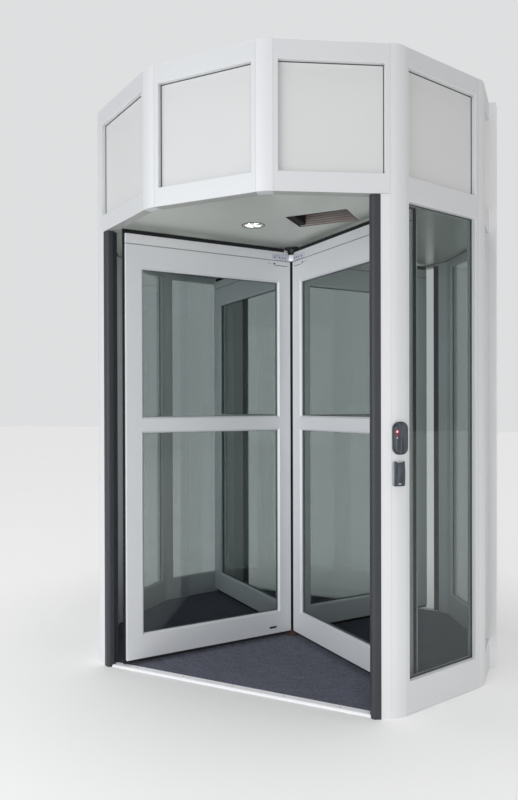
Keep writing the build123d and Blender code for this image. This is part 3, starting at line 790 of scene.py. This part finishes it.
# Card reader on the nose of the right front post: a capsule-shaped moulded housing with a dark rim, a paler
# front with a fine upright grain, a red indicator whose glow is painted red into the front round it, and a
# small pale pointer below.
NOSE_FRONT = 1.0464
CORNER = math.radians(45)
READER_HEIGHT = 1.124
READER_ACROSS = 0.002
READER_HALF = (0.033, 0.066)
READER_DEPTH = 0.0125
READER_RIM = 0.0055
INDICATOR_ACROSS = -0.018
INDICATOR_HEIGHT = READER_HEIGHT + 0.027
POINTER_HEIGHT = READER_HEIGHT + 0.002

material, shader, place = new_material("moulded_plastic")
grainy = place.noise(900, 2.0)
haze = place.noise(25, 3.0)
feed(shader, Base_Color=haze.colour((0.008, 0.010, 0.014), (0.018, 0.021, 0.027)),
     Roughness=0.30 + 0.12 * haze, Coat_Weight=0.15, Normal=grainy.bump(0.00004))
rim_rings = [(0, -0.0050), (0, 0.6 * READER_DEPTH), (0.0010, 0.85 * READER_DEPTH),
             (0.0030, 0.97 * READER_DEPTH), (READER_RIM, READER_DEPTH),
             (READER_RIM + 0.0005, READER_DEPTH - 0.0006), (0.020, READER_DEPTH - 0.0006)]
shell = rounded(*READER_HALF, 0.028, rim_rings, 10)
shell = facing(shell, CORNER, NOSE_FRONT, READER_ACROSS, READER_HEIGHT)
reader_shell = new_object("reader_shell", *shell, material, True)
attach(reader_shell, "drum")
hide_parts("card_reader")

glow_place = facing((np.zeros((1, 3)), []), CORNER, NOSE_FRONT + READER_DEPTH, INDICATOR_ACROSS,
                    INDICATOR_HEIGHT - 0.006)[0][0]


def grained_plastic(name, glow_reach):
    """Grey-blue plastic with a fine upright grain and the indicator's red glow painted into it nearby."""
    material, shader, place = new_material(name)
    grain = place.stretched(1, 1, 0.03).noise(260, 2.0)
    haze = place.noise(30, 3.0)
    ends = {0: place, 1: glow_place.tolist()}
    away = place.node("ShaderNodeVectorMath", {"operation": "DISTANCE"}, ends, output=1)
    glow = away.near(0.0, glow_reach).root() * 0.7
    grey = (0.8 * grain + 0.2 * haze).step(0.35, 0.65).colour((0.022, 0.028, 0.036), (0.100, 0.118, 0.140))
    feed(shader, Base_Color=glow.colour(grey, (0.20, 0.025, 0.055)), Roughness=0.25 + 0.15 * haze,
         Coat_Weight=0.2, Normal=grain.bump(0.0001))
    return material


front_rings = [(0, -0.0010), (0, 0.0004), (0.0012, 0.0012), (0.005, 0.0019), (0.012, 0.0023),
               (0.0205, 0.0024)]
front = rounded(READER_HALF[0] - READER_RIM, READER_HALF[1] - READER_RIM, 0.0225, front_rings, 10)
front = facing(front, CORNER, NOSE_FRONT + READER_DEPTH - 0.0004, READER_ACROSS, READER_HEIGHT)
reader_front = new_object("reader_front", *front, grained_plastic("reader_grain", 0.020), True)
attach(reader_front, "drum")

material, shader, place = new_material("red_indicator")
glow = place.noise(900, 2.0)
feed(shader, Base_Color=glow.colour((0.8, 0.05, 0.08), (1.0, 0.15, 0.2)), Roughness=0.3,
     Emission_Color=glow.colour((1.0, 0.16, 0.22), (1.0, 0.45, 0.5)), Emission_Strength=2.2)
lamp_profile = [(0.0003, 0.0022), (0.0020, 0.0020), (0.0034, 0.0014), (0.0042, 0.0004), (0.0042, -0.0006)]
red_lamp = facing(lathe(lamp_profile, 20), CORNER, NOSE_FRONT + READER_DEPTH + 0.0012, INDICATOR_ACROSS,
                  INDICATOR_HEIGHT)
reader_lamp = new_object("reader_lamp", *red_lamp, material, True)
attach(reader_lamp, "drum")

material, shader, place = new_material("pale_print")
print_wear = place.noise(1500, 2.0)
pale_print = material
feed(shader, Base_Color=print_wear.colour((0.45, 0.46, 0.48), (0.75, 0.76, 0.78)), Roughness=0.5)
pointer_points, pointer_faces = lathe([(0.0003, 0.0006), (0.0044, 0.0006), (0.0048, -0.0006)], 3)
pointer = facing((pointer_points[:, [1, 0, 2]], pointer_faces), CORNER, NOSE_FRONT + READER_DEPTH + 0.0016,
                 INDICATOR_ACROSS, POINTER_HEIGHT)
reader_pointer = new_object("reader_pointer", *pointer, material)
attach(reader_pointer, "drum")

# Card holder below the reader: a grey box with a dark grained plate in front, whose top edge dips between two
# horns so that a card can be gripped, and a small pale stud near the bottom.
HOLDER_HEIGHT = 0.982
HOLDER_ACROSS = -0.0055
HOLDER_HALF = (0.0255, 0.0495)
HOLDER_DEPTH = 0.0105
PLATE_THICK = 0.0022
STUD_BELOW = 0.040
DIP_HALF = 0.0115
DIP_DEPTH = 0.004
BOW = 0.0018


def dipped_outline():
    """Outline of the front plate: its top dips between two horns and its right edge bows as a sine."""
    half_width, half_height = HOLDER_HALF
    rise = np.linspace(0, 1, 9)
    right = np.stack([half_width - BOW + BOW * np.sin(math.pi * rise),
                      (2 * rise - 1) * (half_height - 0.003)], axis=-1)
    low = [(-half_width, 0.003 - half_height), (0.003 - half_width, -half_height),
           (half_width - 0.005, -half_height)]
    dip = [(half_width - 0.0035, half_height + 0.001), (DIP_HALF + 0.0025, half_height),
           (DIP_HALF, half_height - DIP_DEPTH), (-DIP_HALF, half_height - DIP_DEPTH),
           (-DIP_HALF - 0.0025, half_height), (0.001 - half_width, half_height + 0.001),
           (-half_width, half_height - 0.002)]
    return np.array(low + right.tolist() + dip)


def plate(outline, layers):
    """An outline of (across, up) points carried out through layers of (scale, lift), closed at both ends."""
    scale, lift = np.asarray(layers, float).T
    flat = scale[:, None, None] * outline
    out = np.broadcast_to(lift[:, None, None], (scale.size, len(outline), 1))
    return np.concatenate([flat, out], axis=-1).reshape(-1, 3), tube_faces(scale.size, len(outline))


grey_plastic = speckled("grey_plastic", 60, 3.0, (0.24, 0.26, 0.28), (0.36, 0.38, 0.40), 0.4, 0.15)
box = rounded(HOLDER_HALF[0] - 0.0004, HOLDER_HALF[1] - 0.003, 0.002, [(0, -0.005), (0, HOLDER_DEPTH)])
box = facing(box, CORNER, NOSE_FRONT, HOLDER_ACROSS, HOLDER_HEIGHT - 0.002)
holder_box = new_object("holder_box", *box, grey_plastic)
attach(holder_box, "drum")
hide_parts("key_switch")

front = plate(dipped_outline(), [(1, -0.0002), (1, 0.0016), (0.985, PLATE_THICK)])
front = facing(front, CORNER, NOSE_FRONT + HOLDER_DEPTH, HOLDER_ACROSS, HOLDER_HEIGHT)
holder_front = new_object("holder_front", *front, grained_plastic("holder_grain", 0.001))
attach(holder_front, "drum")
stud = rounded(0.0058, 0.0022, 0.0018, [(0, -0.0005), (0, 0.0004), (0.0006, 0.0010)])
stud = facing(stud, CORNER, NOSE_FRONT + HOLDER_DEPTH + PLATE_THICK, HOLDER_ACROSS,
              HOLDER_HEIGHT - STUD_BELOW)
pocket_stud = new_object("pocket_stud", *stud, pale_print)
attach(pocket_stud, "drum")

# Rotor shaft: a dark steel tube, drawn along its length, between the wings' inner stiles. It stands in the
# floor pivot and ends above in the bearing.
shaft_steel = speckled("shaft_steel", 60, 3.0, (0.012, 0.012, 0.013), (0.04, 0.04, 0.042), 0.35, 0.2,
                       stretch=(1, 1, 0.1), Metallic=0.4)
dress(shaft_steel, "centre_shaft")

# Hub: a bright zinc-plated sleeve round the wings' heads, and on both faces of every wing a cast cheek that
# tapers outwards and is held by four socket screws.
WING_TURNS = [math.radians(angle) for angle in (-126.6, -36.6, 53.4, 143.4)]
WING_FACE = 0.020
SLEEVE_RADIUS = 0.048
SLEEVE_BORE = 0.0295
SLEEVE_EDGE = 0.0015
SLEEVE_LOW, SLEEVE_HIGH = 2.035, 2.070
CHEEK_START, CHEEK_END = 0.044, 0.148
CHEEK_TAPER = 0.007
CHEEK_THICK = 0.006
SCREW_PLACES = (0.064, 0.081, 0.101, 0.130)
SCREW_HEIGHT = 2.048

sleeve_zinc = speckled("sleeve_zinc", 38, 4.0, (0.80, 0.80, 0.82), (0.90, 0.90, 0.92), 0.30, 0.2, bump=0.0001,
                       Metallic=0.25)
sleeve_profile = [(SLEEVE_BORE, SLEEVE_LOW), (SLEEVE_RADIUS - SLEEVE_EDGE, SLEEVE_LOW),
                  (SLEEVE_RADIUS, SLEEVE_LOW + SLEEVE_EDGE), (SLEEVE_RADIUS, SLEEVE_HIGH - SLEEVE_EDGE),
                  (SLEEVE_RADIUS - SLEEVE_EDGE, SLEEVE_HIGH), (SLEEVE_BORE, SLEEVE_HIGH)]
hub_sleeve = new_object("hub_sleeve", *lathe(sleeve_profile, 64, True), sleeve_zinc, True)
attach(hub_sleeve, "rotor")
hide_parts("hub")


def on_wings(part, along, height, out):
    """A part on one face of every wing, along it from the axis, and its mirror image on the other face."""
    points, faces = part
    mirrored = (points * (-1, 1, 1), faces)
    placed = []
    for turn in WING_TURNS:
        placed.append(facing(part, turn, out, along, height))
        placed.append(facing(mirrored, turn + math.pi, out, -along, height))
    return placed


cheek_zinc = speckled("cheek_zinc", 55, 4.0, (0.44, 0.44, 0.52), (0.86, 0.86, 0.93), 0.28, 0.2, bump=0.0004,
                      Metallic=0.35)
half_length = (CHEEK_END - CHEEK_START) / 2
half_height = (SLEEVE_HIGH - SLEEVE_LOW) / 2
cheek_outline = np.array([
    (-half_length, -half_height),
    (half_length - 0.004, -half_height),
    (half_length, 0.004 - half_height),
    (half_length, half_height - CHEEK_TAPER - 0.004),
    (half_length - 0.004, half_height - CHEEK_TAPER),
    (-half_length, half_height),
])
cheek = plate(cheek_outline, [(1, -0.0005), (1, CHEEK_THICK - 0.001), (0.975, CHEEK_THICK)])
cheeks = on_wings(cheek, (CHEEK_START + CHEEK_END) / 2, (SLEEVE_LOW + SLEEVE_HIGH) / 2, WING_FACE)
hub_cheeks = new_object("hub_cheeks", *joined(cheeks), cheek_zinc)
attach(hub_cheeks, "rotor")

screw_steel = speckled("screw_steel", 260, 3.0, (0.16, 0.16, 0.19), (0.45, 0.45, 0.50), 0.25, 0.2,
                       Metallic=0.6)
socket_profile = [(0.0003, 0.0006), (0.0022, 0.0006), (0.0024, 0.0030), (0.0040, 0.0032),
                  (0.0045, 0.0025), (0.0045, 0.0)]
socket_screw = lathe(socket_profile, 12)
screws = []
for along in SCREW_PLACES:
    screws += on_wings(socket_screw, along, SCREW_HEIGHT, WING_FACE + CHEEK_THICK - 0.0002)
hub_screws = new_object("hub_screws", *joined(screws), screw_steel)
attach(hub_screws, "rotor")

# Wing frames: aluminium anodised like the drum. A painted shadow line runs along the header groove at
# the cheeks' foot. Below it is the folding lock: a dark strip that is painted shadow under the lock's
# lower edge, a key cylinder and a small latch; and the bottom rail has a slotted cover on one face.
WING_RAILS = [(0.0, 0.155), (1.1255, 1.2025), (1.916, 2.1)]
GROOVE_SHADOW_HEIGHTS = (2.0308, 2.0352)
SHADOW_STRIP_PLACE = (0.085, 2.007)
CYLINDER_PLACE = (0.129, 2.0145)
LATCH_PLACE = (0.161, 2.0145)
COVER_ACROSS, COVER_HEIGHT = -0.142, 0.070

# Painted shadow: the wing metal is darkened between the groove's heights on the header.
wing_metal = anodised("anodised_wing", (0.70, 0.705, 0.72), (0.80, 0.805, 0.82), WING_RAILS, GROOVE_SHADOW_HEIGHTS)
dress(wing_metal, "wing_1_frame", "wing_2_frame", "wing_3_frame", "wing_4_frame")

# Painted shadow: the dark strip under the lock stands for the shadow below its lower edge.
lock_shadow_strip = rounded(0.038, 0.0014, 0.0008, [(0, -0.001), (0, 0.0002), (0.0003, 0.0005)])
lock_shadow_strips = on_wings(lock_shadow_strip, *SHADOW_STRIP_PLACE, WING_FACE)
cylinder_profile = [(0.0003, 0.0004), (0.0014, 0.0004), (0.0016, 0.0020), (0.0042, 0.0020),
                    (0.0050, 0.0012), (0.0050, 0)]
cylinders = on_wings(lathe(cylinder_profile, 20), *CYLINDER_PLACE, WING_FACE)
slot_cover = rounded(0.022, 0.0050, 0.0024, [(0, -0.001), (0, 0.0010), (0.0010, 0.0018)])
covers = [facing(slot_cover, turn + math.pi, WING_FACE, COVER_ACROSS, COVER_HEIGHT) for turn in WING_TURNS]
lock_parts = new_object("lock_parts", *joined(lock_shadow_strips + cylinders + covers), black_parts_and_shadow)
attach(lock_parts, "rotor")
latch = rounded(0.011, 0.0016, 0.0012, [(0, -0.001), (0, 0.0004), (0.0006, 0.0010)])
lock_latches = new_object("lock_latches", *joined(on_wings(latch, *LATCH_PLACE, WING_FACE)), zinc_screw)
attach(lock_latches, "rotor")

# Wing panes: the same tinted glass as in the side walls, one pane below and one above the middle rail. Slim
# grey gaskets hold them on both faces in the sloped beads of the frame.
WINDOWS = [(0.105, 0.865, 0.155, 1.1255), (0.105, 0.865, 1.2025, 1.916)]

wing_glazing = glazing_glass("wing_glazing", PANE_TINT)
dress(wing_glazing, "wing_1_glass", "wing_2_glass", "wing_3_glass", "wing_4_glass")

grey_gasket = speckled("grey_gasket", 300, 3.0, (0.13, 0.135, 0.14), (0.20, 0.205, 0.21), 0.5, 0.2)
loops = [rim(gasket_profile * (0.8, flip), *window, -flip * GLASS / 2)
         for window in WINDOWS for flip in (1, -1)]
wing_gaskets = new_object("wing_gaskets", *around(WING_TURNS, *loops), grey_gasket)
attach(wing_gaskets, "rotor")

# Sweep brushes round the wings: dense black bristles on both sides of a thin rubber fin, set in a slim dark
# carrier along the bottom, outer and top edges. Each bristle is a three-sided rod that leans a little.
BRUSH_ROWS = (-0.0035, 0.0, 0.0035)
BRISTLE_PITCH = 0.004
BRISTLE_RADIUS = 0.0011
BRISTLE_TAPER = 0.6
BRISTLE_SHORT = 0.0008
RUN_SHORT = 0.002
LEAN_ALONG, LEAN_ACROSS = 0.0016, 0.0012
WING_TIP = 0.953
WING_LOW, WING_HIGH = 0.037, 2.081
BRUSH_TIP, BRUSH_LOW, BRUSH_HIGH = 0.965, 0.015, 2.108
BRUSH_START = 0.057
CARRIER = 0.006
FIN_SHORT = 0.003
FIN_THICK = 0.0024

chance = np.random.default_rng(7)


def bristles(start, end, reach):
    """Rods along the line from start to end in the wing's (x, z) plane, reaching out by a vector."""
    start, end, reach = [np.array([value[0], 0.0, value[1]]) for value in (start, end, reach)]
    count = int(np.linalg.norm(end - start) / BRISTLE_PITCH)
    share = (np.arange(count)[:, None] + chance.uniform(0.1, 0.9, (count, len(BRUSH_ROWS)))) / count
    root = start + share[..., None] * (end - start)
    root[..., 1] += np.array(BRUSH_ROWS)
    along = (end - start) / np.linalg.norm(end - start)
    lean = chance.uniform(-LEAN_ALONG, LEAN_ALONG, share.shape)[..., None] * along
    lean[..., 1] += chance.uniform(-LEAN_ACROSS, LEAN_ACROSS, share.shape)
    tip = root + reach * chance.uniform(0.94, 1.0, share.shape)[..., None] + lean
    turn = np.arange(3) * 2 * math.pi / 3
    across = np.array([0.0, 1.0, 0.0])
    ring = BRISTLE_RADIUS * (np.cos(turn)[:, None] * along + np.sin(turn)[:, None] * across)
    rods = [root[..., None, :] + ring, tip[..., None, :] + BRISTLE_TAPER * ring]
    rods = np.stack(rods, axis=-3).reshape(-1, 6, 3)
    side = np.array([[0, 1, 4, 3], [1, 2, 5, 4], [2, 0, 3, 5]])
    first = 6 * np.arange(len(rods))[:, None, None]
    faces = (first + side).reshape(-1, 4).tolist()
    faces += (first[:, :, 0] + [0, 1, 2]).tolist() + (first[:, :, 0] + [3, 4, 5]).tolist()
    return rods.reshape(-1, 3), faces


def bar(left, right, low, high, half_depth):
    """A rectangular bar in the wing's (x, z) plane."""
    section = np.array([(left, -half_depth), (right, -half_depth), (right, half_depth), (left, half_depth)])
    return prism(section, low, high)


def edge_bars(tip, low, high, half_depth):
    """Bars along a wing's bottom, top and outer edges, out to the given tip, low and high lines."""
    return [
        bar(BRUSH_START, tip, low, WING_LOW, half_depth),
        bar(BRUSH_START, tip, WING_HIGH, high, half_depth),
        bar(WING_TIP, tip, WING_LOW, WING_HIGH, half_depth),
    ]


material, shader, place = new_material("brush_bristle")
shade = place.noise(300, 2.0)
feed(shader, Base_Color=shade.colour((0.006, 0.006, 0.007), (0.022, 0.022, 0.024)), Roughness=0.7)
run_end = BRUSH_TIP - RUN_SHORT
runs = [
    bristles((BRUSH_START, WING_LOW), (run_end, WING_LOW), (0, BRUSH_LOW - WING_LOW + BRISTLE_SHORT)),
    bristles((BRUSH_START, WING_HIGH), (run_end, WING_HIGH), (0, BRUSH_HIGH - WING_HIGH - BRISTLE_SHORT)),
    bristles((WING_TIP, WING_LOW), (WING_TIP, WING_HIGH), (BRUSH_TIP - WING_TIP - BRISTLE_SHORT, 0)),
]
wing_bristles = new_object("sweep_bristles", *around(WING_TURNS, *runs), material)
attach(wing_bristles, "rotor")
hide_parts("wing_brushes")

carriers = edge_bars(WING_TIP + CARRIER, WING_LOW - CARRIER, WING_HIGH + CARRIER, CARRIER)
fins = edge_bars(BRUSH_TIP - FIN_SHORT, BRUSH_LOW + FIN_SHORT, BRUSH_HIGH - FIN_SHORT, FIN_THICK / 2)
brush_carriers = new_object("brush_carriers", *around(WING_TURNS, *carriers, *fins), black_parts_and_shadow)
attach(brush_carriers, "rotor")
